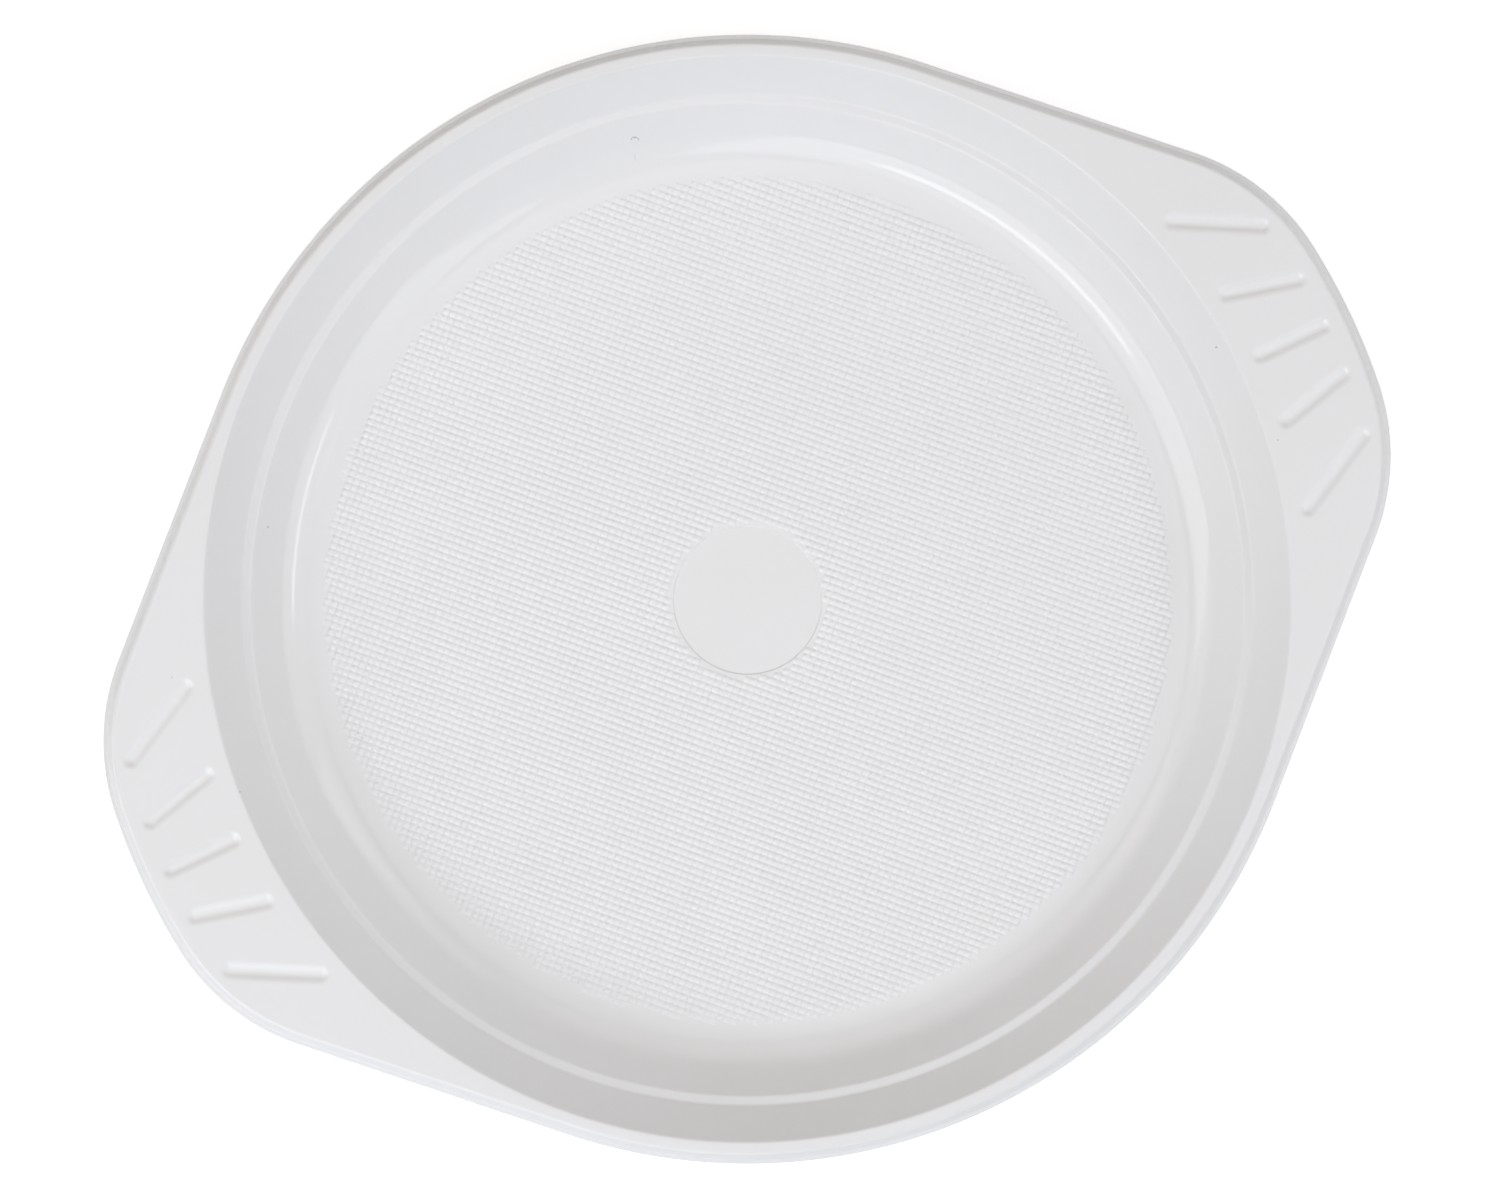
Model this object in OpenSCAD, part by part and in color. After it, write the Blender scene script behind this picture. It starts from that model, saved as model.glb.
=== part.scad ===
// Round moulded plastic plate with two grip handles, one piece of sheet-thin polypropylene.
// Millimetres, +Z up, X along the two handles, origin at the middle of the underside.

/* [Overall] */
// Diameter over the outer edge of the round rim
rim_d = 220; // [205:1:240]
// How far each handle reaches beyond the round rim
handle_reach = 20; // [16:0.5:30]
// Height of the flat flange above the table
plate_h = 20; // [16:0.5:30]
// Thickness of the moulded wall
wall_t = 0.6; // [0.5:0.05:0.8]

/* [Floor] */
// Diameter of the smooth round medallion in the middle of the floor
medallion_d = 29.6; // [20:0.2:40]
// Depth of the medallion below the floor
medallion_depth = 0.25; // [0.1:0.05:0.3]

/* [Walls] */
// Width that the lower wall takes in plan, measured from the corner that the wide curve rounds
lower_run = 7.8; // [6:0.1:9]
// Inside radius of the wide curve that lifts the floor into the lower wall
heel_r = 11; // [7:0.5:14]
// Width of the ledge between the two walls
ledge_w = 1.7; // [1.4:0.1:2.5]
// Height of the ledge above the table
ledge_h = 10.8; // [8:0.2:12]
// Radius that rounds the inner edge of the ledge
ledge_edge_r = 0.7; // [0.4:0.1:1]
// Inside radius at the foot of the upper wall
ledge_foot_r = 0.7; // [0.4:0.1:1]
// Width that the upper wall takes in plan
upper_run = 6.6; // [5:0.1:9]
// Radius that rounds the edge of the mouth
mouth_r = 0.7; // [0.5:0.1:1]
// Width of the flat flange, from the edge of the mouth to the crease of the lip
flange_w = 2.3; // [1.9:0.1:6]

/* [Lip] */
// Width of the turned-down lip, from its crease to its outer edge
lip_w = 2.1; // [1.8:0.1:2.4]
// Width of the small foot that turns outwards at the bottom of the lip
foot_w = 0.85; // [0.6:0.05:1.1]
// Drop from the flange to the outer edge of the lip
lip_drop = 3; // [2:0.1:5]
// Part of that drop that lies in the slope of the foot
foot_drop = 0.15; // [0:0.05:0.4]
// Radius that rounds the crease between flange and lip
crease_r = 0.75; // [0.5:0.05:0.9]
// Inside radius between the lip and its foot
foot_r = 0.3; // [0.2:0.05:0.4]

/* [Handles] */
// Width of the end of a handle that stays concentric with the rim
end_w = 29; // [20:1:40]
// Radius of the handle's corners at the outer edge
corner_r = 44; // [25:1:50]

/* [Grip grooves] */
// Number of grooves in each handle
groove_count = 5; // [1:1:5]
// Width of a groove at the surface
groove_w = 2.7; // [2:0.1:3.4]
// Depth of a groove
groove_depth = 0.7; // [0.4:0.1:1]
// Distance from the edge of the mouth to the inner ends of the grooves
groove_start = 3.4; // [2.4:0.1:6]
// Distance from the end of the handle to the outer ends of the grooves
groove_inset = 5; // [4:0.5:7]
// Distance from the end of the handle to the point beyond it that all its grooves aim at
aim_reach = 34; // [25:1:42]
// Angle between neighbouring grooves
fan_step = 14; // [8:1:14]

/* [Hidden] */
plastic = [0.94, 0.945, 0.95];
fine = 128;

// Steps along the stretches of the outline in one quarter, and in the bends of the two sections
end_steps = 3;
corner_steps = 10;
side_steps = 8;
rim_steps = 12;
bowl_steps = 8;
lip_steps = 4;

rim_r = rim_d / 2;
handle_r = rim_r + handle_reach;
half_turn = 180;
crease_w = lip_w - foot_w;
skirt_drop = lip_drop - foot_drop;

// The crease keeps one distance from the outer edge: its radii on the rim, the handle's end and corner
crease_rim = rim_r - lip_w;
crease_end = handle_r - lip_w;
crease_corner = corner_r - lip_w;
// Half the angle that the handle's end takes, and the direction that its straight side faces
end_angle = asin(end_w / (2 * handle_r));
corner_centre = crease_end - crease_corner;
side_angle = end_angle + acos((crease_rim - crease_corner) / corner_centre);

// Distances from the plate's axis, each worked out from the next one further out
mouth_at = crease_rim - flange_w;
ledge_out = mouth_at - upper_run;
ledge_in = ledge_out - ledge_w;
heel_at = ledge_in - lower_run;

// Turning from flat to the lip's slope, and how far the rounded bends reach into the flat flange
skirt_angle = atan(skirt_drop / crease_w);
mouth_angle = atan((plate_h - ledge_h) / upper_run);
flat_in = mouth_at + mouth_r * tan(mouth_angle / 2);
flat_out = crease_rim - crease_r * tan(skirt_angle / 2);
// Bowl and flange are modelled apart and overlap in the middle third of the flat stretch
join_in = flat_in + (flat_out - flat_in) / 3;
join_out = flat_in + (flat_out - flat_in) * 2 / 3;

// Inside surface of the bowl as corner points with the radius of each bend: [x, z, radius]
bowl_line = [
  [medallion_d / 2, wall_t, 0],
  [heel_at, wall_t, heel_r],
  [ledge_in, ledge_h, ledge_edge_r],
  [ledge_out, ledge_h, ledge_foot_r],
  [mouth_at, plate_h, mouth_r],
  [join_out, plate_h, 0]
];

// Outside surface of the lip, measured outwards from the crease: [offset, z, radius]
lip_line = [
  [-lip_w, plate_h, 0],
  [0, plate_h, crease_r],
  [crease_w, plate_h - skirt_drop, foot_r],
  [lip_w, plate_h - lip_drop, 0]
];

// Radius of a groove's round bottom, and the height of its axis above the flange
groove_r = (pow(groove_w / 2, 2) + pow(groove_depth, 2)) / (2 * groove_depth);
groove_lift = groove_r - groove_depth;
// Distances from the plate's axis to the centres of the grooves' round ends and to the point aimed at
groove_from = mouth_at + groove_start + groove_w / 2;
groove_to = handle_r - groove_inset - groove_w / 2;
aim_at = handle_r + aim_reach;
// Beyond both ends of a cut, so that no face of it lies in a face of the wall
clear = 1;

function point(p) = [p[0], p[1]];
function unit(v) = v / norm(v);
function left_of(v) = [-v[1], v[0]];
function cross_z(a, b) = a[0] * b[1] - a[1] * b[0];

// Direction of the stretch that leaves corner i, the last corner keeping the one before it
function heading(line, i) =
  let (k = min(i, len(line) - 2))
  unit(point(line[k + 1]) - point(line[k]));

// The same line shifted sideways by d, to the right of its direction, with its bends shifted too
function shifted(line, d) = [
  for (i = [0 : len(line) - 1])
    let (
      into = heading(line, max(i - 1, 0)),
      out = heading(line, i),
      side = left_of(into) + left_of(out),
      p = point(line[i]) - side * d / (1 + into * out),
      turn = cross_z(into, out)
    )
    [p[0], p[1], line[i][2] == 0 ? 0 : max(line[i][2] + sign(turn) * d, line[i][2] / 4)]
];

// Points of one bend: corner i of the line, rounded with its radius
function bend(line, i, steps) =
  let (
    p = point(line[i]),
    r = line[i][2],
    into = heading(line, max(i - 1, 0)),
    out = heading(line, i),
    turn = asin(cross_z(into, out)),
    start = p - into * r * tan(abs(turn) / 2),
    side = left_of(into) * sign(turn)
  )
  r == 0 || turn == 0
    ? [p]
    : [for (k = [0 : steps])
        let (a = abs(turn) * k / steps)
        start + into * r * sin(a) + side * r * (1 - cos(a))];

function rounded(line, steps) = [for (i = [0 : len(line) - 1]) each bend(line, i, steps)];
function reversed(list) = [for (i = [len(list) - 1 : -1 : 0]) list[i]];

// Crease of one quarter of the outline, from the handle's middle to the rim's: [x, y, facing]
function arc(centre, r, from, to, steps) = [
  for (i = [0 : steps - 1])
    let (a = from + (to - from) * i / steps)
    [centre[0] + r * cos(a), centre[1] + r * sin(a), a]
];
function straight(a, b, facing, steps) = [
  for (i = [0 : steps - 1])
    let (p = a + (b - a) * i / steps)
    [p[0], p[1], facing]
];
function towards(a) = [cos(a), sin(a)];

corner_at = corner_centre * towards(end_angle);
quarter = concat(
  arc([0, 0], crease_end, 0, end_angle, end_steps),
  arc(corner_at, crease_corner, end_angle, side_angle, corner_steps),
  straight(
    corner_at + crease_corner * towards(side_angle), crease_rim * towards(side_angle),
    side_angle, side_steps),
  arc([0, 0], crease_rim, side_angle, 90, rim_steps)
);
half = concat(
  quarter,
  [[0, crease_rim, 90]],
  [for (i = [len(quarter) - 1 : -1 : 1])
    [-quarter[i][0], quarter[i][1], half_turn - quarter[i][2]]]
);
outline = concat(half, [for (p = half) [-p[0], -p[1], p[2] + half_turn]]);

// Bowl: floor, lower wall, ledge, upper wall and the inner part of the flange
module bowl() {
  under = shifted(bowl_line, wall_t);
  medallion = [
    [0, wall_t - medallion_depth],
    [medallion_d / 2 - medallion_depth, wall_t - medallion_depth]
  ];
  rotate_extrude($fn = fine)
    polygon(concat(
      medallion, rounded(bowl_line, bowl_steps), reversed(rounded(under, bowl_steps)), [[0, 0]]));
}

// Flange, handles and lip: one section carried round the outline, its inner side on a circle
module flange() {
  top = [for (p = rounded(lip_line, lip_steps)) if (p[0] > -lip_w) p];
  under = [for (p = rounded(shifted(lip_line, wall_t), lip_steps)) if (p[0] > -lip_w) p];
  section = concat([[0, plate_h]], top, reversed(under), [[0, plate_h - wall_t]]);
  rows = len(section);
  last = rows - 1;
  columns = len(outline);
  points = [
    for (o = outline, j = [0 : last])
      let (
        inner = j == 0 || j == last,
        p = inner ? join_in * unit([o[0], o[1]]) : [o[0], o[1]] + section[j][0] * towards(o[2])
      )
      [p[0], p[1], section[j][1]]
  ];
  faces = [
    for (i = [0 : columns - 1], j = [0 : last])
      let (next = (i + 1) % columns, up = (j + 1) % rows)
      [i * rows + j, next * rows + j, next * rows + up, i * rows + up]
  ];
  polyhedron(points, [for (f = faces) each [[f[0], f[1], f[2]], [f[0], f[2], f[3]]]], convexity = 6);
}

// Where a line that passes the plate's axis at this distance meets a circle round the axis
function meets(aside, r) = sqrt(r * r - aside * aside);

// Long round-ended body of one groove along X, the centres of its ends at from and to
module groove_body(from, to, r) {
  translate([from, 0, 0]) rotate([0, 90, 0]) cylinder(h = to - from, r = r, $fn = fine);
  for (x = [from, to])
    translate([x, 0, 0]) sphere(r = r, $fn = fine);
}

// All grooves of both handles, as bodies of radius r: each aims at one point beyond the handle's end,
// and all of them run between the same two circles, so the outer ones are longer
module groove_fan(r) {
  for (turn = [0, half_turn], k = [0 : groove_count - 1])
    let (
      a = (k - (groove_count - 1) / 2) * fan_step,
      aside = aim_at * sin(a)
    )
    rotate([0, 0, turn - a])
      translate([0, aside, plate_h + groove_lift])
        groove_body(meets(aside, groove_from), meets(aside, groove_to), r);
}

// Beads under the handles that keep the wall's thickness round each groove
module groove_beads() {
  reach = 2 * (handle_r + clear);
  intersection() {
    groove_fan(groove_r + wall_t);
    translate([-reach / 2, -reach / 2, 0])
      cube([reach, reach, plate_h - wall_t / 2]);
  }
}

module plate() {
  color(plastic)
    difference() {
      union() {
        bowl();
        flange();
        groove_beads();
      }
      groove_fan(groove_r);
    }
}

plate();
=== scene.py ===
"""A white moulded polypropylene plate with two grip handles, and the small studio that it is shown in."""

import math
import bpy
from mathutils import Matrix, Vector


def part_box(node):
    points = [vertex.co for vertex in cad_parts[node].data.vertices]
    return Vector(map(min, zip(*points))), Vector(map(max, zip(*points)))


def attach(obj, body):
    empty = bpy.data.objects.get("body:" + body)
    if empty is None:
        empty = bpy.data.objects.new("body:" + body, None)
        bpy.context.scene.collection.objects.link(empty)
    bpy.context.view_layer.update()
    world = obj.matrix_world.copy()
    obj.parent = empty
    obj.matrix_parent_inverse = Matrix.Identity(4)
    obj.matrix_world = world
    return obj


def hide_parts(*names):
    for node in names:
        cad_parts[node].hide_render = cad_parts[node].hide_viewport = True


bl_info = {
    "name": "Moulded plastic plate",
    "version": (1, 0, 0),
    "blender": (4, 5, 0),
    "location": "3D View > Sidebar > Plate",
    "description": "Builds a polypropylene plate with grip handles, its textured floor and a plain studio",
    "category": "Object",
}

import bmesh
import bpy
from mathutils import Matrix, Vector

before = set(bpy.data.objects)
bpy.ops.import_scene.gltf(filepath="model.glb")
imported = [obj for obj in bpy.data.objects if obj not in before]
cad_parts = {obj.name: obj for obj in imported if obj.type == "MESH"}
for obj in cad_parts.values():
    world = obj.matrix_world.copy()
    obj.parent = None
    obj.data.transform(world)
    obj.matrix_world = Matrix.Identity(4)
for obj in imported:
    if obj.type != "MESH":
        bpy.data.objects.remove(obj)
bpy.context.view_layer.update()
PLATE_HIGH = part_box("plate")[1]

MM = 0.001
FULL_TURN = 2 * math.pi
PLATE_NODE = "plate"

# How finely the plate's skin is cut: steps round the bowl, then along the parts of a quarter of the outline
BOWL_TOP_STEPS = 400
BOWL_UNDER_STEPS = 360
END_STEPS = 12
CORNER_STEPS = 30
SIDE_STEPS = 24
RIM_STEPS = 40

# Bends: the longest step, the fewest steps, the strip beside a bend that keeps the next stretch straight,
# and the share of its radius that a bend keeps at least when the skin is moved
LONGEST_STEP = 0.6 * MM
TOP_BEND_STEPS = 7
UNDER_BEND_STEPS = 5
LIP_BEND_STEPS = 6
HOLD = 0.15 * MM
LEAST_BEND = 0.25

# Steps of a groove: round its ends, along its sides, across its bottom and over its edge. Its middle
# points are merged where they are closer than the weld.
GROOVE_END_STEPS = 16
GROOVE_SIDE_STEPS = 14
GROOVE_BOTTOM_STEPS = 8
GROOVE_EDGE_STEPS = 5
WELD = 0.001 * MM

# A pillow's shoulder, as shares of its half length, half width and height, and the share of its height
# that is left at the outer edge of the texture
SHOULDER_LENGTH = 0.7
SHOULDER_WIDTH = 0.42
SHOULDER_HEIGHT = 0.84
FADED_HEIGHT = 0.5

# The photograph's frame in pixels, where the plate lies in it, and how far the handles are turned
IMAGE_WIDTH = 1500
IMAGE_HEIGHT = 1200
PLATE_CENTRE_X = 746.8
PLATE_CENTRE_Y = 597.9
RIM_RADIUS_PX = 565.0
HANDLE_TURN = math.radians(25.27)

# Dirt on the photographed plate: the middle of each mark in mm from the axis, its half length and half
# width in mm, its turn in the picture in degrees, and its strength. The last four make one arched scuff
# and the line below it.
MARKS = (
    (103.5, 5.1, 0.26, 0.22, 0, 0.42),
    (106.3, -16.4, 0.22, 0.18, 0, 0.25),
    (-79.1, 53.0, 0.26, 0.2, 30, 0.3),
    (-107.6, 33.6, 0.24, 0.18, 0, 0.24),
    (-105.1, 7.9, 0.24, 0.2, 0, 0.22),
    (18.8, 91.8, 0.55, 0.17, 0, 0.4),
    (18.15, 91.85, 0.34, 0.15, 55, 0.34),
    (19.3, 91.3, 0.34, 0.15, -55, 0.34),
    (17.25, 88.55, 0.95, 0.1, 100, 0.16),
)
# A mark is full up to this share of its half size, and gone at that one. It covers every height.
MARK_FULL = 0.6
MARK_GONE = 1.1
MARK_HALF_HEIGHT = 1.0

# Polypropylene: its patterns' waves in a metre (25 mm, 4 mm and 1.5 mm long), its roughness from the
# glossiest to the dullest spot, the part of a noise's range that is used for it, and its orange peel
CLOUD_WAVES = 40.0
GLOSS_WAVES = 260.0
PEEL_WAVES = 650.0
ROUGHNESS = (0.09, 0.13)
NOISE_SPAN = (0.3, 0.7)
PEEL_STRENGTH = 0.25
PEEL_DEPTH = 0.02 * MM
RESIN_IOR = 1.49

# The studio floor reaches this far, lies this far below the plate and glows this much for the camera
FLOOR_REACH = 3.0
FLOOR_GAP = 0.1 * MM
FLOOR_GLOW = 0.45

# Lamps: direction in the picture and height above the horizon in degrees, distance, width and height in
# metres, watts, and which of the studio's light colours
LAMPS = {
    "overhead": (90, 90, 1.6, 1.4, 1.4, 5.9, "top_light"),
    "lower_left": (231.5, 35, 1.1, 0.69, 0.19, 1.4, "cool_light"),
    "lower_left_wall": (225, 32, 1.2, 2.1, 1.2, 11.0, "cool_light"),
    "upper_right_wall": (40, 30, 1.5, 0.8, 0.7, 1.3, "plain_light"),
    "right": (351, 35, 1.3, 0.5, 0.16, 0.85, "plain_light"),
    "right_wall": (352, 35, 1.5, 2.4, 1.6, 13.6, "plain_light"),
    "back_wall": (110, 40, 1.5, 2.2, 1.0, 4.5, "warm_light"),
    "left_wall": (170, 35, 1.5, 1.2, 1.0, 2.1, "warm_light"),
}


def length(name, description, value):
    """A size in metres."""
    return bpy.props.FloatProperty(
        name=name, description=description, default=value, min=0, unit="LENGTH", precision=5
    )


def angle(name, description, degrees):
    """An angle, written here in degrees."""
    return bpy.props.FloatProperty(
        name=name, description=description, default=math.radians(degrees), subtype="ANGLE"
    )


def linear(value):
    """One sRGB channel from 0 to 1, as light."""
    return value / 12.92 if value <= 0.04045 else ((value + 0.055) / 1.055) ** 2.4


def colour(hex_text):
    """An sRGB colour such as EBECED, as linear red, green and blue."""
    return tuple(linear(int(hex_text[i : i + 2], 16) / 255) for i in (0, 2, 4))


def tint(name, description, hex_text):
    """A colour, written here as sRGB."""
    return bpy.props.FloatVectorProperty(
        name=name, description=description, default=colour(hex_text), subtype="COLOR", min=0, max=1
    )


class PlateSizes(bpy.types.PropertyGroup):
    """Sizes of the moulded plate"""

    rim_r: length("Rim", "Radius of the round rim", PLATE_HIGH.y)
    handle_r: length("Handle", "From the plate's axis to the end of a handle", PLATE_HIGH.x)
    height: length("Height", "Height of the flange above the table", PLATE_HIGH.z)
    wall: length("Wall", "Thickness of the moulded wall", 0.6 * MM)
    edge_r: length("Edge", "Radius that softens the wall's cut edge", 0.15 * MM)
    medallion_r: length("Medallion", "Radius of the smooth disc in the middle", 14.8 * MM)
    medallion_depth: length("Medallion depth", "How far that disc lies below the floor", 0.25 * MM)
    medallion_edge: length("Medallion edge", "Radius that softens the disc's edge", 0.12 * MM)
    lower_run: length("Lower wall", "Width of the lower wall in plan, from its corner", 7.8 * MM)
    heel_r: length("Heel", "Radius of the wide curve from floor to lower wall", 11 * MM)
    ledge_w: length("Ledge", "Width of the ledge", 1.7 * MM)
    ledge_h: length("Ledge height", "Height of the ledge above the table", 10.8 * MM)
    ledge_r: length("Ledge bends", "Radius on both sides of the ledge", 0.7 * MM)
    upper_run: length("Upper wall", "Width of the upper wall in plan", 6.6 * MM)
    mouth_r: length("Mouth bend", "Radius on the edge of the mouth", 0.7 * MM)
    flange_w: length("Flange", "Width of the flat flange on the round rim", 2.3 * MM)
    lip_w: length("Lip", "Width of the turned-down lip in plan", 2.1 * MM)
    foot_w: length("Lip foot", "Width of the small foot of the lip", 0.85 * MM)
    lip_drop: length("Lip drop", "From the flange down to the foot's edge", 3 * MM)
    foot_drop: length("Foot slope", "Part of the drop that lies in the foot", 0.15 * MM)
    crease_r: length("Crease bend", "Radius between flange and lip", 0.75 * MM)
    foot_r: length("Foot bend", "Radius between lip and foot", 0.3 * MM)
    end_w: length("Handle end", "Width of the concentric end of a handle", 29 * MM)
    corner_r: length("Handle corners", "Radius of a handle's corners", 44 * MM)


class GrooveSizes(bpy.types.PropertyGroup):
    """Sizes of the grip grooves"""

    count: bpy.props.IntProperty(name="Grooves", description="Grooves in each handle", default=5, min=1)
    wide: length("Width", "Width of a groove at the surface", 2.7 * MM)
    deep: length("Depth", "Depth of a groove", 0.7 * MM)
    edge_r: length("Edge", "Radius that softens the edge of a groove", 1.8 * MM)
    start: length("Start", "From the edge of the mouth to the grooves", 3.4 * MM)
    inset: length("Inset", "From the end of the handle to the grooves", 5 * MM)
    aim_reach: length("Aim", "From the handle's end to the point that the grooves aim at", 34 * MM)
    fan_step: angle("Fan step", "Angle between neighbouring grooves", 14)


class TextureSizes(bpy.types.PropertyGroup):
    """Sizes of the pillows on the floor"""

    pitch: length("Pitch", "Distance between the rows of pillows", 1.344 * MM)
    pillow_l: length("Pillow length", "Length of one pillow along its row", 1.7 * MM)
    pillow_w: length("Pillow width", "Width of one pillow across its row", 1.3 * MM)
    pillow_h: length("Relief", "Height of one pillow above the floor", 0.38 * MM)
    fade: length("Fade", "Strip at the outer edge in which the pillows get lower", 1.2 * MM)
    sunk: length("Sunk", "How far a pillow's base lies under the floor", 0.02 * MM)
    margin: length("Margin", "Bare strip at both edges of the texture", 0.6 * MM)
    turn: angle("Turn", "Angle between the rows and the handles", -45)
    uneven: bpy.props.FloatProperty(
        name="Unevenness", description="Spread of the pillows' sizes", default=0.06, min=0, max=0.5
    )
    lean: angle("Lean", "How far a pillow may lean to one side", 1.2)
    seed: bpy.props.IntProperty(name="Seed", description="Seed of the unevenness", default=7)


class PlateFinish(bpy.types.PropertyGroup):
    """Colours of the resin and of the dirt on it"""

    resin: tint("Resin", "Colour of the white polypropylene", "EDEDED")
    resin_shade: tint("Resin shade", "The same resin where it is a little less bright", "EAEAE9")
    # The embossed resin and its shade are painted paler than the rest: painted light that makes up for the
    # shade between the pillows and for their missing glints
    embossed: tint("Embossed resin", "Colour of the resin on the floor's texture", "F1F1F2")
    embossed_shade: tint("Embossed shade", "The same where it is a little less bright", "EEEEEE")
    dirt: tint("Dirt", "Colour of the specks and rubbed marks", "4A4640")


class StudioSetup(bpy.types.PropertyGroup):
    """Place of the camera and colours of the backdrop and the lamps"""

    distance: length("Camera distance", "From the lens to the flange", 1.1)
    tilt_down: angle("Tilt", "How far the camera stands towards the picture's lower edge", 1.4)
    tilt_right: angle("Side tilt", "How far the camera stands towards the picture's right edge", 0.5)
    backdrop: tint("Backdrop", "Colour of floor and background", "FAFAFA")
    top_light: tint("Top light", "Colour of the lamp above the plate", "F6F6FF")
    cool_light: tint("Cool light", "Colour of the lamps at the picture's lower left", "F7FAFF")
    plain_light: tint("Plain light", "Colour of the lamps at the picture's right", "FAFAFC")
    warm_light: tint("Warm light", "Colour of the lamps at the picture's top and left", "FFF4E5")


def distances(sizes):
    """Distances from the plate's axis, each worked out from the next one further out."""
    crease = sizes.rim_r - sizes.lip_w
    mouth = crease - sizes.flange_w
    ledge_out = mouth - sizes.upper_run
    ledge_in = ledge_out - sizes.ledge_w
    heel = ledge_in - sizes.lower_run
    slope = math.atan((sizes.ledge_h - sizes.wall) / sizes.lower_run)
    return {
        "crease": crease,
        "mouth": mouth,
        "ledge_out": ledge_out,
        "ledge_in": ledge_in,
        "heel": heel,
        "floor": heel - sizes.heel_r * math.tan(slope / 2),
    }


def bowl_line(sizes):
    """Inside of the bowl from the floor to the flange: (distance, height, bend radius)."""
    at = distances(sizes)
    return [
        (0, sizes.wall, 0),
        (at["heel"], sizes.wall, sizes.heel_r),
        (at["ledge_in"], sizes.ledge_h, sizes.ledge_r),
        (at["ledge_out"], sizes.ledge_h, sizes.ledge_r),
        (at["mouth"], sizes.height, sizes.mouth_r),
        (at["crease"], sizes.height, 0),
    ]


def with_medallion(line, sizes):
    """The same inside with the medallion's recess in place of its first point."""
    depth = sizes.medallion_depth
    low = sizes.wall - depth
    recess = [
        (0, low, 0),
        (sizes.medallion_r - depth, low, sizes.medallion_edge),
        (sizes.medallion_r, sizes.wall, sizes.medallion_edge),
    ]
    return recess + line[1:]


def lip_line(sizes):
    """Outside of the lip: (distance out from the crease, height, bend radius)."""
    return [
        (-sizes.lip_w, sizes.height, 0),
        (0, sizes.height, sizes.crease_r),
        (sizes.lip_w - sizes.foot_w, sizes.height - sizes.lip_drop + sizes.foot_drop, sizes.foot_r),
        (sizes.lip_w, sizes.height - sizes.lip_drop, 0),
    ]


def headings(line):
    """Direction of each stretch of a line."""
    return [(Vector(b[:2]) - Vector(a[:2])).normalized() for a, b in zip(line, line[1:])]


def left_of(way):
    """The direction to the left of this one."""
    return Vector((-way.y, way.x))


def turn_between(into, out):
    """Angle of a bend, above zero where it turns left."""
    return math.atan2(into.x * out.y - into.y * out.x, into.dot(out))


def shifted(line, distance):
    """The same line moved to the right of its direction, with its bends moved too."""
    ways = headings(line)
    moved = []
    for i, (x, z, bend_r) in enumerate(line):
        into, out = ways[max(i - 1, 0)], ways[min(i, len(ways) - 1)]
        spot = Vector((x, z)) - (left_of(into) + left_of(out)) * distance / (1 + into.dot(out))
        if bend_r:
            moved_r = bend_r + math.copysign(distance, turn_between(into, out))
            bend_r = max(moved_r, bend_r * LEAST_BEND)
        moved.append((spot.x, spot.y, bend_r))
    return moved


def rounded(line, fewest):
    """Points along a line with its bends rounded in at least so many steps. A point just before and just
    after each bend keeps the stretches between the bends straight when they are shaded smooth."""
    ways = headings(line)
    turns = [0, *(turn_between(a, b) for a, b in zip(ways, ways[1:])), 0]
    reach = [r * math.tan(abs(turn) / 2) for (_, _, r), turn in zip(line, turns)]
    # A strip takes a third of the straight stretch at most
    holds = [
        min(HOLD, ((Vector(b[:2]) - Vector(a[:2])).length - reach[i] - reach[i + 1]) / 3)
        for i, (a, b) in enumerate(zip(line, line[1:]))
    ]
    points = []
    for i, (x, z, bend_r) in enumerate(line):
        if not bend_r:
            points.append(Vector((x, z)))
            continue
        side = left_of(ways[i - 1]) * math.copysign(bend_r, turns[i])
        start = Vector((x, z)) - ways[i - 1] * reach[i]
        points.append(start - ways[i - 1] * holds[i - 1])
        steps = max(fewest, math.ceil(abs(turns[i]) * bend_r / LONGEST_STEP))
        for k in range(steps + 1):
            a = abs(turns[i]) * k / steps
            points.append(start + ways[i - 1] * bend_r * math.sin(a) + side * (1 - math.cos(a)))
        points.append(points[-1] + ways[i] * holds[i])
    return points


def towards(a):
    """The direction at an angle from X, in plan."""
    return Vector((math.cos(a), math.sin(a)))


def spread(start, stop, count):
    """Evenly spaced values from start up to, and without, stop."""
    return [start + (stop - start) * k / count for k in range(count)]


def outline(sizes):
    """Crease of the lip all round, as (point, direction that it faces), from the right handle's middle.
    Each quarter has the handle's end, its corner, its straight side and its share of the round rim."""
    rim = sizes.rim_r - sizes.lip_w
    end = sizes.handle_r - sizes.lip_w
    corner = sizes.corner_r - sizes.lip_w
    end_angle = math.asin(sizes.end_w / 2 / sizes.handle_r)
    side_angle = end_angle + math.acos((rim - corner) / (end - corner))
    corner_at = towards(end_angle) * (end - corner)
    side_from = corner_at + towards(side_angle) * corner
    side_to = towards(side_angle) * rim

    quarter = [(towards(a) * end, a) for a in spread(0, end_angle, END_STEPS)]
    quarter += [
        (corner_at + towards(a) * corner, a) for a in spread(end_angle, side_angle, CORNER_STEPS)
    ]
    quarter += [(side_from.lerp(side_to, t), side_angle) for t in spread(0, 1, SIDE_STEPS)]
    quarter += [(towards(a) * rim, a) for a in spread(side_angle, math.pi / 2, RIM_STEPS)]
    half = quarter + [(Vector((0, rim)), math.pi / 2)]
    half += [(Vector((-p.x, p.y)), math.pi - a) for p, a in reversed(quarter[1:])]
    return half + [(-p, a + math.pi) for p, a in half]


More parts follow.
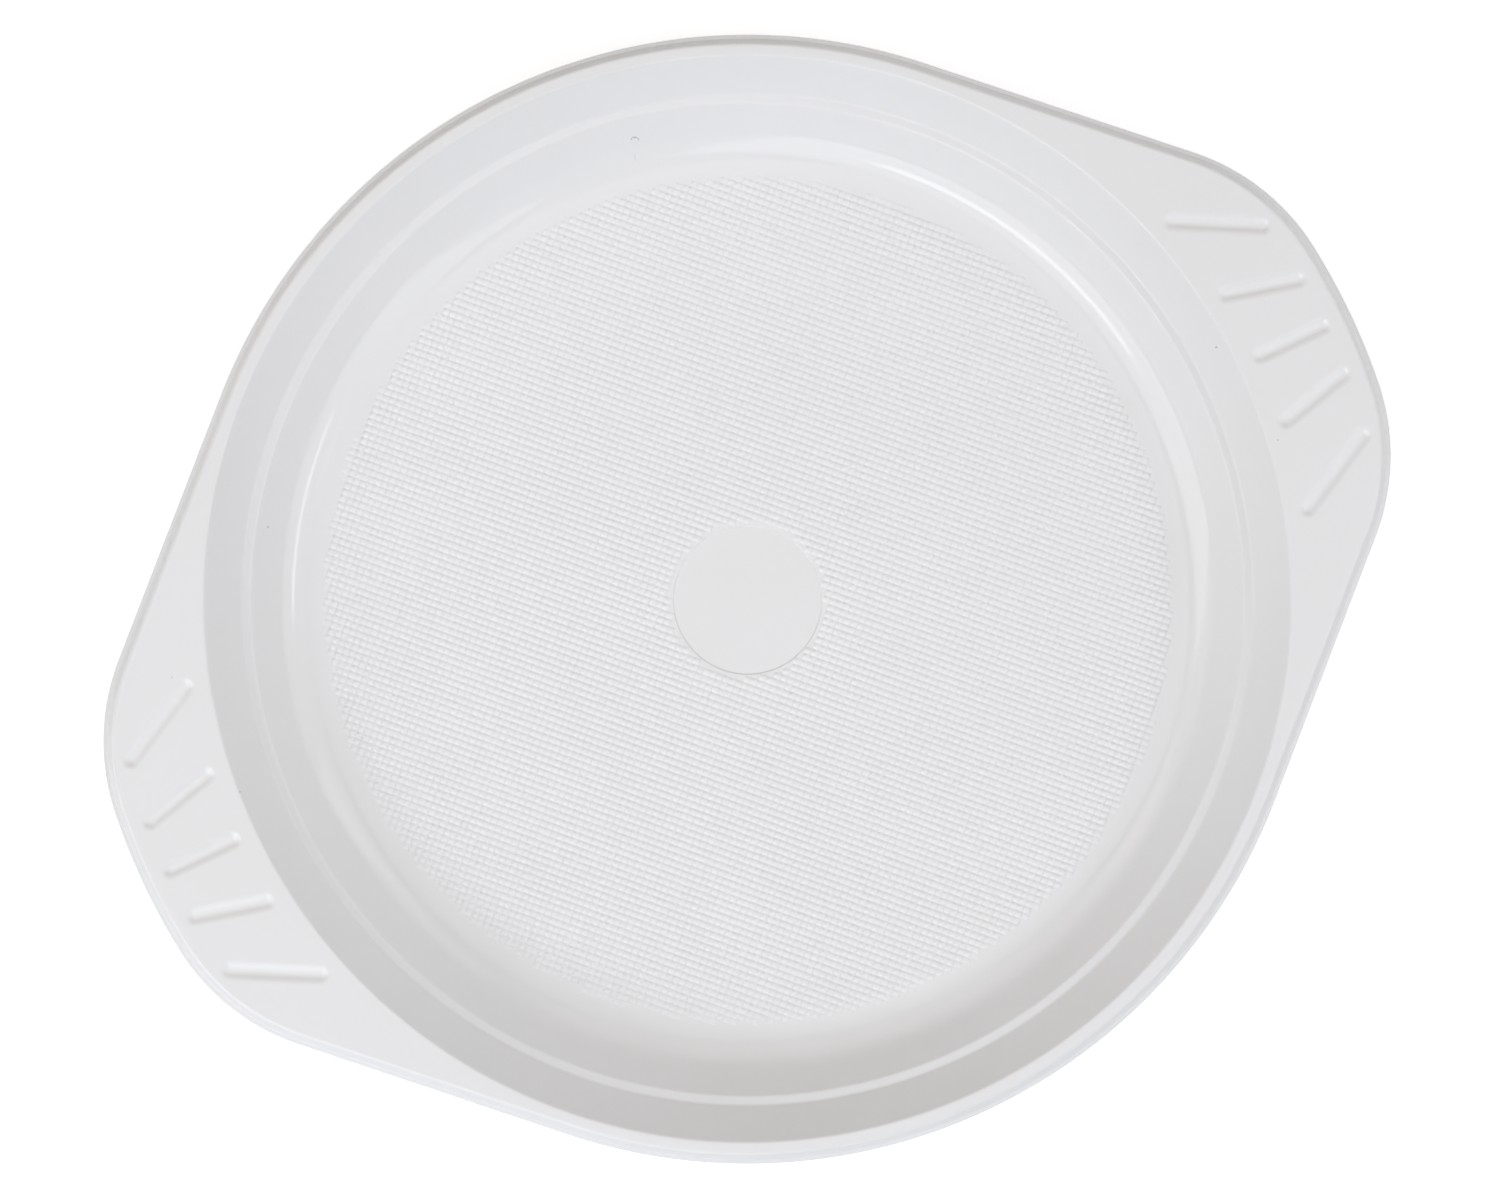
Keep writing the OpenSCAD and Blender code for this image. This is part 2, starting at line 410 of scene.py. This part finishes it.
def bridge(bm, rings):
    """Joins each closed ring of vertices to the next one. A ring of one vertex is joined by a fan."""
    for low, high in zip(rings, rings[1:]):
        count = max(len(low), len(high))
        for k in range(count):
            n = (k + 1) % count
            corners = [low[k % len(low)], low[n % len(low)], high[n % len(high)], high[k % len(high)]]
            bm.faces.new(list(dict.fromkeys(corners)))
    return rings


def lathe(bm, section, count):
    """Turns a section of (distance, height) points round the axis and returns its rings of vertices."""
    rings = []
    for spot in section:
        turns = spread(0, FULL_TURN, count if spot.x else 1)
        rings.append([bm.verts.new((*(towards(a) * spot.x), spot.y)) for a in turns])
    return bridge(bm, rings)


def sweep(bm, section, around):
    """Carries a section of (offset, height) points round the outline and returns its rings of vertices."""
    return bridge(
        bm, [[bm.verts.new((*(p + towards(a) * s.x), s.y)) for p, a in around] for s in section]
    )


def ring_edges(bm, ring):
    """The edges between a closed ring's vertices."""
    return [bm.edges.get((a, b)) for a, b in zip(ring, ring[1:] + ring[:1])]


def object_from(bm, name):
    """Makes an object of a bmesh, with smooth shading."""
    mesh = bpy.data.meshes.new(name)
    bm.to_mesh(mesh)
    bm.free()
    mesh.shade_smooth()
    piece = bpy.data.objects.new(name, mesh)
    bpy.context.collection.objects.link(piece)
    return piece


def remove(piece):
    """Removes a helper object and its mesh."""
    mesh = piece.data
    bpy.data.objects.remove(piece)
    bpy.data.meshes.remove(mesh)


def groove_ends(sizes, grooves):
    """Distances from the plate's axis to the centres of the grooves' round ends."""
    start = distances(sizes)["mouth"] + grooves.start + grooves.wide / 2
    return start, sizes.handle_r - grooves.inset - grooves.wide / 2


def groove_profile(grooves, offset):
    """Half a groove's section as (distance from its middle line, height), for a skin offset downwards."""
    bottom_r = (grooves.wide**2 / 4 + grooves.deep**2) / (2 * grooves.deep)
    lift = bottom_r - grooves.deep
    bottom_r += offset
    edge_r = max(grooves.edge_r - offset, grooves.edge_r * LEAST_BEND)
    # The edge's circle touches the flat from below and the round bottom from outside
    edge_x = math.sqrt((bottom_r + edge_r) ** 2 - (lift + offset + edge_r) ** 2)
    turn = math.asin(edge_x / (bottom_r + edge_r))
    profile = [
        (bottom_r * math.sin(a), lift - bottom_r * math.cos(a))
        for a in spread(0, turn, GROOVE_BOTTOM_STEPS)
    ]
    profile += [
        (edge_x - edge_r * math.sin(a), edge_r * math.cos(a) - edge_r - offset)
        for a in spread(turn, 0, GROOVE_EDGE_STEPS)
    ]
    # A narrow flat strip outside the edge keeps the shading of the flange level
    return profile + [(edge_x, -offset), (edge_x + HOLD, -offset)]


def groove_patch(grooves, half_l, offset):
    """One groove as a round-ended patch along X. Its vertices know how far they lie towards each end."""
    bm = bmesh.new()
    end = bm.verts.layers.float.new("end")
    line = [(1, a) for a in spread(-math.pi / 2, math.pi / 2, GROOVE_END_STEPS)]
    line += [(t, math.pi / 2) for t in spread(1, -1, GROOVE_SIDE_STEPS)]
    line += [(-1, a) for a in spread(math.pi / 2, math.pi * 1.5, GROOVE_END_STEPS)]
    line += [(t, -math.pi / 2) for t in spread(-1, 1, GROOVE_SIDE_STEPS)]
    rings = []
    for across, z in groove_profile(grooves, offset):
        ring = []
        for t, a in line:
            vertex = bm.verts.new((t * half_l + across * math.cos(a), across * math.sin(a), z))
            vertex[end] = t
            ring.append(vertex)
        rings.append(ring)
    bridge(bm, rings)
    bmesh.ops.remove_doubles(bm, verts=rings[0], dist=WELD)
    return object_from(bm, "groove_pattern")


def fit_grooves(bm, fan, inner, outer):
    """Lays the grooves between two rings of vertices and fills the flat all round them."""
    before = set(bm.edges)
    bm.from_mesh(fan.data)
    loops = [e for e in bm.edges if e.is_boundary and e not in before]
    loops += ring_edges(bm, inner) + ring_edges(bm, outer)
    bmesh.ops.triangle_fill(bm, edges=loops, use_beauty=True, normal=(0, 0, 1))


def add(tree, kind, *ordered, sockets=None, **values):
    """Adds a node. Its inputs, in order or by name, are values, sockets, or nodes for their first output."""
    made = tree.nodes.new(kind)
    for key, value in values.items():
        setattr(made, key, value)
    for key, value in [*enumerate(ordered), *(sockets or {}).items()]:
        if isinstance(value, bpy.types.Node):
            value = value.outputs[0]
        if isinstance(value, bpy.types.NodeSocket):
            tree.links.new(value, made.inputs[key])
        else:
            made.inputs[key].default_value = value
    return made


def new_tree(name, sockets):
    """A Geometry Nodes tree with a geometry output and the named inputs, and those inputs' sockets."""
    tree = bpy.data.node_groups.new(name, "GeometryNodeTree")
    tree.interface.new_socket("Geometry", in_out="OUTPUT", socket_type="NodeSocketGeometry")
    for label, kind in sockets.items():
        tree.interface.new_socket(label, in_out="INPUT", socket_type="NodeSocket" + kind)
    return tree, add(tree, "NodeGroupInput").outputs


def end_tree(tree, geometry, material):
    """Shades a tree's geometry smooth, gives it its material and makes it the tree's output."""
    smooth = add(tree, "GeometryNodeSetShadeSmooth", geometry)
    finish = add(tree, "GeometryNodeSetMaterial", smooth, sockets={"Material": material})
    add(tree, "NodeGroupOutput", finish)
    return tree


def run_tree(tree, name, values):
    """Runs a Geometry Nodes tree on an empty mesh and returns the plain mesh object that it makes."""
    carrier = bpy.data.objects.new(name, bpy.data.meshes.new(name))
    bpy.context.collection.objects.link(carrier)
    modifier = carrier.modifiers.new(name, "NODES")
    modifier.node_group = tree
    for item in tree.interface.items_tree:
        if item.in_out == "INPUT":
            modifier[item.identifier] = values[item.name]
    graph = bpy.context.evaluated_depsgraph_get()
    made = bpy.data.meshes.new_from_object(carrier.evaluated_get(graph))
    carrier.modifiers.remove(modifier)
    empty = carrier.data
    carrier.data = made
    bpy.data.meshes.remove(empty)
    made.name = name
    return carrier


def groove_tree():
    """Grooves over both handles. Each aims at one point beyond its handle and runs between two circles."""
    tree, given = new_tree(
        "Grip grooves",
        {
            "Groove": "Object",
            "Groove half length": "Float",
            "Count": "Int",
            "Fan step": "Float",
            "Inner circle": "Float",
            "Outer circle": "Float",
            "Aim": "Float",
            "Height": "Float",
            "Material": "Material",
        },
    )
    # Which handle a groove is on, and how far it leans from the middle of that handle's fan
    index = add(tree, "GeometryNodeInputIndex")
    both = add(tree, "ShaderNodeMath", given["Count"], 2.0, operation="MULTIPLY")
    last = add(tree, "ShaderNodeMath", given["Count"], 1.0, operation="SUBTRACT")
    second = add(tree, "ShaderNodeMath", index, last, operation="GREATER_THAN")
    before = add(tree, "ShaderNodeMath", second, given["Count"], operation="MULTIPLY")
    place = add(tree, "ShaderNodeMath", index, before, operation="SUBTRACT")
    middle = add(tree, "ShaderNodeMath", last, 2.0, operation="DIVIDE")
    from_middle = add(tree, "ShaderNodeMath", place, middle, operation="SUBTRACT")
    lean = add(tree, "ShaderNodeMath", from_middle, given["Fan step"], operation="MULTIPLY")

    # Where the groove's middle line meets the two circles, and how much longer it is than the pattern
    sine = add(tree, "ShaderNodeMath", lean, operation="SINE")
    aside = add(tree, "ShaderNodeMath", sine, given["Aim"], operation="MULTIPLY")
    aside_squared = add(tree, "ShaderNodeMath", aside, aside, operation="MULTIPLY")
    ends = []
    for circle in ("Inner circle", "Outer circle"):
        squared = add(tree, "ShaderNodeMath", given[circle], 2.0, operation="POWER")
        rest = add(tree, "ShaderNodeMath", squared, aside_squared, operation="SUBTRACT")
        ends.append(add(tree, "ShaderNodeMath", rest, operation="SQRT"))
    total = add(tree, "ShaderNodeMath", *ends, operation="ADD")
    centre = add(tree, "ShaderNodeMath", total, 2.0, operation="DIVIDE")
    long = add(tree, "ShaderNodeMath", ends[1], ends[0], operation="SUBTRACT")
    half = add(tree, "ShaderNodeMath", long, 2.0, operation="DIVIDE")
    extra = add(tree, "ShaderNodeMath", half, given["Groove half length"], operation="SUBTRACT")

    # A point for each groove, with the stretch that its two ends need
    half_turn = add(tree, "ShaderNodeMath", second, math.pi, operation="MULTIPLY")
    facing = add(tree, "ShaderNodeMath", half_turn, lean, operation="SUBTRACT")
    unturned = add(tree, "ShaderNodeCombineXYZ", centre, aside, given["Height"])
    spot = add(
        tree,
        "ShaderNodeVectorRotate",
        rotation_type="Z_AXIS",
        sockets={"Vector": unturned, "Angle": facing},
    )
    points = add(tree, "GeometryNodePoints", both, spot)
    stretch = add(tree, "ShaderNodeCombineXYZ", extra)
    way = add(
        tree,
        "ShaderNodeVectorRotate",
        rotation_type="Z_AXIS",
        sockets={"Vector": stretch, "Angle": facing},
    )
    marked = add(
        tree,
        "GeometryNodeStoreNamedAttribute",
        points,
        sockets={"Name": "stretch", "Value": way},
        data_type="FLOAT_VECTOR",
    )

    # The pattern on each point, with its ends moved apart
    body = add(tree, "GeometryNodeObjectInfo", given["Groove"])
    turned = add(tree, "ShaderNodeCombineXYZ", sockets={"Z": facing})
    placed = add(
        tree,
        "GeometryNodeInstanceOnPoints",
        marked,
        sockets={"Instance": body.outputs["Geometry"], "Rotation": turned},
    )
    real = add(tree, "GeometryNodeRealizeInstances", placed)
    end = add(tree, "GeometryNodeInputNamedAttribute", "end", data_type="FLOAT")
    by = add(tree, "GeometryNodeInputNamedAttribute", "stretch", data_type="FLOAT_VECTOR")
    move = add(tree, "ShaderNodeVectorMath", by, operation="SCALE", sockets={"Scale": end})
    moved = add(tree, "GeometryNodeSetPosition", real, sockets={"Offset": move})
    for name in ("end", "stretch"):
        moved = add(tree, "GeometryNodeRemoveAttribute", moved, sockets={"Name": name})
    return end_tree(tree, moved, given["Material"])


def texture_tree():
    """Rows of pillows in a square lattice, kept between two circles, a little uneven in size and lean."""
    tree, given = new_tree(
        "Floor texture",
        {
            "Pillow": "Object",
            "Pitch": "Float",
            "Rows": "Int",
            "Turn": "Float",
            "Inner radius": "Float",
            "Outer radius": "Float",
            "Fade": "Float",
            "Height": "Float",
            "Unevenness": "Float",
            "Lean": "Float",
            "Seed": "Int",
            "Material": "Material",
        },
    )
    # A turned square lattice of points, without those off the textured ring
    gaps = add(tree, "ShaderNodeMath", given["Rows"], 1.0, operation="SUBTRACT")
    side = add(tree, "ShaderNodeMath", gaps, given["Pitch"], operation="MULTIPLY")
    grid = add(tree, "GeometryNodeMeshGrid", side, side, given["Rows"], given["Rows"])
    turned = add(tree, "ShaderNodeCombineXYZ", sockets={"Z": given["Turn"]})
    lifted = add(tree, "ShaderNodeCombineXYZ", sockets={"Z": given["Height"]})
    lattice = add(
        tree,
        "GeometryNodeTransform",
        grid,
        sockets={"Translation": lifted, "Rotation": turned},
    )
    points = add(tree, "GeometryNodeMeshToPoints", lattice)
    spot = add(tree, "GeometryNodeInputPosition")
    flat = add(tree, "ShaderNodeVectorMath", spot, (1, 1, 0), operation="MULTIPLY")
    distance = add(tree, "ShaderNodeVectorMath", flat, operation="LENGTH").outputs["Value"]
    beyond = add(
        tree, "ShaderNodeMath", distance, given["Outer radius"], operation="GREATER_THAN"
    )
    within = add(tree, "ShaderNodeMath", distance, given["Inner radius"], operation="LESS_THAN")
    left_out = add(tree, "ShaderNodeMath", beyond, within, operation="ADD")
    kept = add(
        tree, "GeometryNodeDeleteGeometry", points, sockets={"Selection": left_out}, domain="POINT"
    )

    # Each pillow's own size, made lower near the outer edge
    least = add(tree, "ShaderNodeMath", 1.0, given["Unevenness"], operation="SUBTRACT")
    most = add(tree, "ShaderNodeMath", 1.0, given["Unevenness"], operation="ADD")
    size_low = add(tree, "ShaderNodeCombineXYZ", least, least, least)
    size_high = add(tree, "ShaderNodeCombineXYZ", 1.0, 1.0, most)
    size = add(
        tree,
        "FunctionNodeRandomValue",
        size_low,
        size_high,
        data_type="FLOAT_VECTOR",
        sockets={"Seed": given["Seed"]},
    )
    fade_from = add(
        tree, "ShaderNodeMath", given["Outer radius"], given["Fade"], operation="SUBTRACT"
    )
    low = add(
        tree,
        "ShaderNodeMapRange",
        distance,
        fade_from,
        given["Outer radius"],
        1.0,
        FADED_HEIGHT,
    )
    faded = add(tree, "ShaderNodeCombineXYZ", 1.0, 1.0, low)
    scale = add(tree, "ShaderNodeVectorMath", size, faded, operation="MULTIPLY")

    # Each pillow's own small lean
    other_way = add(tree, "ShaderNodeMath", given["Lean"], -1.0, operation="MULTIPLY")
    lean_low = add(tree, "ShaderNodeCombineXYZ", other_way, other_way, given["Turn"])
    lean_high = add(tree, "ShaderNodeCombineXYZ", given["Lean"], given["Lean"], given["Turn"])
    other_seed = add(tree, "ShaderNodeMath", given["Seed"], 1.0, operation="ADD")
    lean = add(
        tree,
        "FunctionNodeRandomValue",
        lean_low,
        lean_high,
        data_type="FLOAT_VECTOR",
        sockets={"Seed": other_seed},
    )

    body = add(tree, "GeometryNodeObjectInfo", given["Pillow"])
    placed = add(
        tree,
        "GeometryNodeInstanceOnPoints",
        kept,
        sockets={"Instance": body.outputs["Geometry"], "Rotation": lean, "Scale": scale},
    )
    real = add(tree, "GeometryNodeRealizeInstances", placed)
    return end_tree(tree, real, given["Material"])


def pillow_patch(texture):
    """One low pillow with a domed top, its closed base sunk into the floor."""
    bm = bmesh.new()
    half_l, half_w = texture.pillow_l / 2, texture.pillow_w / 2
    corners = [Vector((x * half_l, y * half_w)) for x, y in ((1, 1), (-1, 1), (-1, -1), (1, -1))]
    base = [bm.verts.new((*c, -texture.sunk)) for c in corners]
    high = texture.pillow_h
    shoulder = [
        bm.verts.new((c.x * SHOULDER_LENGTH, c.y * SHOULDER_WIDTH, high * SHOULDER_HEIGHT))
        for c in corners
    ]
    bridge(bm, [base, shoulder, [bm.verts.new((0, 0, high))]])
    bm.faces.new(list(reversed(base)))
    for edge in ring_edges(bm, base):
        edge.smooth = False
    bmesh.ops.recalc_face_normals(bm, faces=bm.faces)
    return object_from(bm, "pillow_pattern")


def marks_on(tree, place):
    """How much dirt covers each spot, from 0 to 1: an ellipse for each of the specks and rubbed marks."""
    covered = 0.0
    for x, y, half_l, half_w, turn, strength in MARKS:
        spot = add(
            tree,
            "ShaderNodeMapping",
            vector_type="TEXTURE",
            sockets={
                "Vector": place,
                "Location": (x * MM, y * MM, 0),
                "Rotation": (0, 0, math.radians(turn) - HANDLE_TURN),
                "Scale": (half_l * MM, half_w * MM, MARK_HALF_HEIGHT),
            },
        )
        away = add(tree, "ShaderNodeVectorMath", spot, operation="LENGTH").outputs["Value"]
        faded = add(tree, "ShaderNodeMapRange", away, MARK_FULL, MARK_GONE, strength, 0.0)
        covered = add(tree, "ShaderNodeMath", faded, covered, operation="MAXIMUM")
    return covered


def polypropylene(finish, embossed=False):
    """Injection-moulded white polypropylene: glossy, a little cloudy, with a faint orange peel from the
    mould and a few specks and rubbed marks of dirt. Where it is embossed its colour is painted a little
    paler, as painted light that makes up for the shade between the pillows and for their missing glints, and
    no dirt lies there."""
    name = "Polypropylene, injection moulded, " + ("embossed white" if embossed else "glossy white")
    # On the embossed floor the paler colours are painted light, standing in for the pillows' lost light and
    # glints
    bright = finish.embossed if embossed else finish.resin
    shade = finish.embossed_shade if embossed else finish.resin_shade
    if name in bpy.data.materials:
        return bpy.data.materials[name]
    material = bpy.data.materials.new(name)
    material.use_nodes = True
    tree = material.node_tree
    tree.nodes.clear()
    place = add(tree, "ShaderNodeTexCoord").outputs["Object"]

    # The resin clouds by about one part in a hundred over some 25 mm
    cloud = add(
        tree, "ShaderNodeTexNoise", place, sockets={"Scale": CLOUD_WAVES, "Detail": 1.0}
    )
    resin = add(
        tree,
        "ShaderNodeMix",
        cloud,
        data_type="RGBA",
        sockets={6: (*shade, 1), 7: (*bright, 1)},
    )
    if not embossed:
        resin = add(
            tree,
            "ShaderNodeMix",
            marks_on(tree, place),
            data_type="RGBA",
            sockets={6: resin.outputs[2], 7: (*finish.dirt, 1)},
        )

    # Polished steel leaves a gloss that varies a little over some 4 mm
    gloss = add(
        tree, "ShaderNodeTexNoise", place, sockets={"Scale": GLOSS_WAVES, "Detail": 0.0}
    )
    rough = add(tree, "ShaderNodeMapRange", gloss, *NOISE_SPAN, *ROUGHNESS)

    # Orange peel of some 1.5 mm, only microns deep
    peel = add(tree, "ShaderNodeTexNoise", place, sockets={"Scale": PEEL_WAVES, "Detail": 0.0})
    relief = add(
        tree,
        "ShaderNodeBump",
        sockets={"Height": peel, "Strength": PEEL_STRENGTH, "Distance": PEEL_DEPTH},
    )
    shader = add(
        tree,
        "ShaderNodeBsdfPrincipled",
        sockets={
            "Base Color": resin.outputs[2],
            "Roughness": rough,
            "Normal": relief,
            "IOR": RESIN_IOR,
        },
    )
    add(tree, "ShaderNodeOutputMaterial", shader)
    return material


def backdrop_paper(tone):
    """Matt white background paper. The camera sees it a little brighter, so that it ends in plain white
    and still keeps the plate's soft shadow."""
    material = bpy.data.materials.new("Background paper, matt white")
    material.use_nodes = True
    tree = material.node_tree
    tree.nodes.clear()
    paper = add(tree, "ShaderNodeBsdfDiffuse", (*tone, 1))
    rays = add(tree, "ShaderNodeLightPath")
    glow = add(
        tree, "ShaderNodeMath", rays.outputs["Is Camera Ray"], FLOOR_GLOW, operation="MULTIPLY"
    )
    lift = add(tree, "ShaderNodeEmission", sockets={"Strength": glow})
    both = add(tree, "ShaderNodeAddShader", paper, lift)
    add(tree, "ShaderNodeOutputMaterial", both)
    return material


class PLATE_OT_make_plate(bpy.types.Operator):
    """Build the moulded plate: bowl, flange, handles, lip and grip grooves, as one closed skin"""

    bl_idname = "plate.make_plate"
    bl_label = "Moulded plate"

    def execute(self, context):
        sizes, grooves = context.scene.plate_sizes, context.scene.plate_grooves
        material = polypropylene(context.scene.plate_finish)
        bowl, lip = bowl_line(sizes), lip_line(sizes)
        under = shifted(lip, sizes.wall)[::-1]
        # The cut edge between the lip's outside and its inside gets a small bend at both corners
        lip[-1] = (*lip[-1][:2], sizes.edge_r)
        under[0] = (*under[0][:2], sizes.edge_r)

        bm = bmesh.new()
        top = rounded(with_medallion(bowl, sizes), TOP_BEND_STEPS)
        inner_top = lathe(bm, top[:-1], BOWL_TOP_STEPS)[-1]
        underside = rounded(shifted(bowl, sizes.wall), UNDER_BEND_STEPS)
        inner_under = lathe(bm, underside[:-1], BOWL_UNDER_STEPS)[-1]
        lip_rings = sweep(bm, rounded(lip + under, LIP_BEND_STEPS)[1:-1], outline(sizes))

        start, stop = groove_ends(sizes, grooves)
        half_l = (stop - start) / 2
        tree = groove_tree()
        for offset, inner, outer in (
            (0, inner_top, lip_rings[0]),
            (sizes.wall, inner_under, lip_rings[-1]),
        ):
            pattern = groove_patch(grooves, half_l, offset)
            fan = run_tree(
                tree,
                "groove_fan",
                {
                    "Groove": pattern,
                    "Groove half length": half_l,
                    "Count": grooves.count,
                    "Fan step": grooves.fan_step,
                    "Inner circle": start,
                    "Outer circle": stop,
                    "Aim": sizes.handle_r + grooves.aim_reach,
                    "Height": sizes.height,
                    "Material": material,
                },
            )
            fit_grooves(bm, fan, inner, outer)
            remove(fan)
            remove(pattern)
        bmesh.ops.recalc_face_normals(bm, faces=bm.faces)
        open_edges = sum(not e.is_manifold for e in bm.edges)
        if open_edges:
            raise RuntimeError(f"the plate's skin has {open_edges} open edges")
        plate = object_from(bm, "moulded_plate")
        plate.data.materials.clear()
        plate.data.materials.append(material)
        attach(plate, "root")
        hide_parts(PLATE_NODE)
        return {"FINISHED"}


class PLATE_OT_make_texture(bpy.types.Operator):
    """Cover the flat floor with rows of small pillows"""

    bl_idname = "plate.make_texture"
    bl_label = "Floor texture"

    def execute(self, context):
        sizes, texture = context.scene.plate_sizes, context.scene.plate_texture
        pattern = pillow_patch(texture)
        outer = distances(sizes)["floor"] - texture.margin
        floor = run_tree(
            texture_tree(),
            "floor_texture",
            {
                "Pillow": pattern,
                "Pitch": texture.pitch,
                "Rows": 2 * math.ceil(outer / texture.pitch) + 1,
                "Turn": texture.turn,
                "Inner radius": sizes.medallion_r + texture.margin,
                "Outer radius": outer,
                "Fade": texture.fade,
                "Height": sizes.wall,
                "Unevenness": texture.uneven,
                "Lean": texture.lean,
                "Seed": texture.seed,
                "Material": polypropylene(context.scene.plate_finish, embossed=True),
            },
        )
        remove(pattern)
        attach(floor, "root")
        return {"FINISHED"}


def add_camera(context, studio, sizes):
    """A camera over the plate, with the photograph's view and frame."""
    right = Vector((math.cos(HANDLE_TURN), -math.sin(HANDLE_TURN), 0))
    up = Vector((math.sin(HANDLE_TURN), math.cos(HANDLE_TURN), 0))

    # The lip's lower edge sets the scale, because its radius in the photograph is known
    edge_distance = studio.distance + sizes.lip_drop
    pixel = sizes.rim_r / RIM_RADIUS_PX
    lens = bpy.data.cameras.new("camera")
    lens.sensor_fit = "HORIZONTAL"
    lens.lens = lens.sensor_width * edge_distance / (IMAGE_WIDTH * pixel)
    camera = bpy.data.objects.new("camera", lens)
    context.collection.objects.link(camera)
    aim = Vector((0, 0, sizes.height - sizes.lip_drop))
    aim += right * (IMAGE_WIDTH / 2 - PLATE_CENTRE_X) * pixel
    aim += up * (PLATE_CENTRE_Y - IMAGE_HEIGHT / 2) * pixel
    back = Vector((0, 0, 1))
    back += right * math.tan(studio.tilt_right) - up * math.tan(studio.tilt_down)
    back.normalize()
    across = up.cross(back).normalized()
    turn = Matrix((across, back.cross(across), back)).transposed().to_4x4()
    camera.matrix_world = Matrix.Translation(aim + back * edge_distance) @ turn
    context.scene.camera = camera


def add_floor(studio):
    """The studio's floor, a little below the plate's underside, so that the two never share a plane."""
    bm = bmesh.new()
    below = Matrix.Translation((0, 0, -FLOOR_GAP))
    bmesh.ops.create_grid(bm, x_segments=1, y_segments=1, size=FLOOR_REACH, matrix=below)
    floor = object_from(bm, "studio_floor")
    floor.data.materials.append(backdrop_paper(studio.backdrop))


def add_lamps(context, studio, sizes):
    """The soft lamps, all aimed at the middle of the plate's mouth."""
    for name, (heading, rise, distance, wide, high, power, light_colour) in LAMPS.items():
        light = bpy.data.lights.new(name, "AREA")
        light.shape = "RECTANGLE"
        light.size, light.size_y = wide, high
        light.energy = power
        light.color = getattr(studio, light_colour)
        lamp = bpy.data.objects.new(name, light)
        context.collection.objects.link(lamp)
        a, e = math.radians(heading) - HANDLE_TURN, math.radians(rise)
        way = Vector((*(towards(a) * math.cos(e)), math.sin(e)))
        lamp.location = Vector((0, 0, sizes.height)) + way * distance
        lamp.rotation_euler = way.to_track_quat("Z", "Y").to_euler()


def white_world():
    """A world that is white where it is seen or mirrored, and gives no other light."""
    world = bpy.data.worlds.new("studio")
    world.use_nodes = True
    tree = world.node_tree
    tree.nodes.clear()
    rays = add(tree, "ShaderNodeLightPath").outputs
    direct = add(
        tree, "ShaderNodeMath", rays["Is Camera Ray"], rays["Is Glossy Ray"], operation="MAXIMUM"
    )
    shown = add(
        tree, "ShaderNodeMath", direct, rays["Is Transmission Ray"], operation="MAXIMUM"
    )
    sky = add(tree, "ShaderNodeBackground", (1, 1, 1, 1), shown)
    add(tree, "ShaderNodeOutputWorld", sky)
    return world


class PLATE_OT_make_studio(bpy.types.Operator):
    """Set up the camera, the pale floor and the soft lamps"""

    bl_idname = "plate.make_studio"
    bl_label = "Studio"

    def execute(self, context):
        studio, sizes = context.scene.plate_studio, context.scene.plate_sizes
        add_camera(context, studio, sizes)
        add_floor(studio)
        add_lamps(context, studio, sizes)
        context.scene.world = white_world()
        context.scene.view_settings.view_transform = "Standard"
        return {"FINISHED"}


class PLATE_PT_panel(bpy.types.Panel):
    """The plate's sizes and the buttons that build it"""

    bl_idname = "PLATE_PT_panel"
    bl_label = "Moulded plate"
    bl_space_type = "VIEW_3D"
    bl_region_type = "UI"
    bl_category = "Plate"

    def draw(self, context):
        for group, kind in GROUPS.items():
            box = self.layout.box()
            for key in kind.__annotations__:
                box.prop(getattr(context.scene, group), key)
        for operator in OPERATORS:
            self.layout.operator(operator.bl_idname)


GROUPS = {
    "plate_sizes": PlateSizes,
    "plate_grooves": GrooveSizes,
    "plate_texture": TextureSizes,
    "plate_finish": PlateFinish,
    "plate_studio": StudioSetup,
}
OPERATORS = (PLATE_OT_make_studio, PLATE_OT_make_plate, PLATE_OT_make_texture)


def register():
    for name, group in GROUPS.items():
        bpy.utils.register_class(group)
        setattr(bpy.types.Scene, name, bpy.props.PointerProperty(type=group))
    for kind in (*OPERATORS, PLATE_PT_panel):
        bpy.utils.register_class(kind)


def unregister():
    for kind in (PLATE_PT_panel, *reversed(OPERATORS)):
        bpy.utils.unregister_class(kind)
    for name, group in reversed(GROUPS.items()):
        delattr(bpy.types.Scene, name)
        bpy.utils.unregister_class(group)


def main():
    register()
    bpy.ops.plate.make_studio()
    bpy.ops.plate.make_plate()
    bpy.ops.plate.make_texture()


if __name__ == "__main__":
    main()
